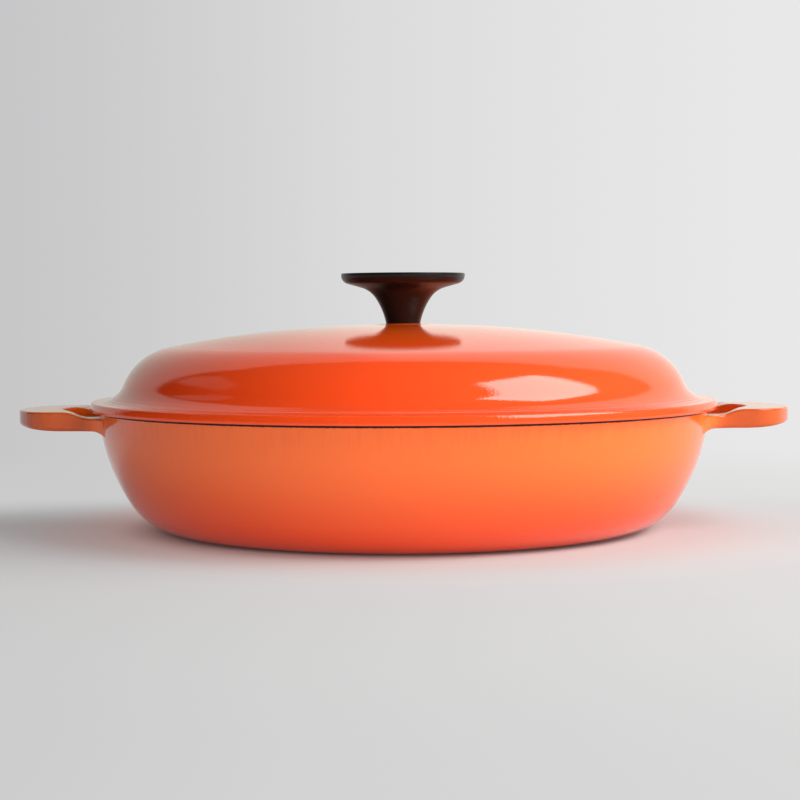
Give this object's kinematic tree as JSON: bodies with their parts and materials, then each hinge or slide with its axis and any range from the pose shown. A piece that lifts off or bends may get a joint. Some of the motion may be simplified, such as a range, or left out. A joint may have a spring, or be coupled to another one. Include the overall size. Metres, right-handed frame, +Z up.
{
  "type": "braiser",
  "caption": "Low round enamelled cast iron pot with loop handles, and a domed lid that lifts off by a flared knob.",
  "frame": {"origin": "on the table, under the centre of the pot's base", "axes": "+X through a loop handle, +Z up the pot's axis"},
  "size_m": [0.378, 0.3066, 0.1249],
  "materials": {
    "pot_enamel": "glossy enamel over cast iron",
    "lid_enamel": "glossy enamel over cast iron",
    "knob_plastic": "satin moulded phenolic",
    "insert_brass": "turned",
    "screw_steel": "plain stainless"
  },
  "bodies": {
    "pot": {"pot": "pot_enamel"},
    "lid": {"lid": "lid_enamel", "knob": "knob_plastic", "knob_insert": "insert_brass", "knob_screw": "screw_steel", "knob_washer": "screw_steel"}
  },
  "joints": [
    {"name": "lid_lift", "type": "slide", "parent": "pot", "child": "lid", "axis": [0, 0, 1], "range_m": [0, 0.1]}
  ]
}
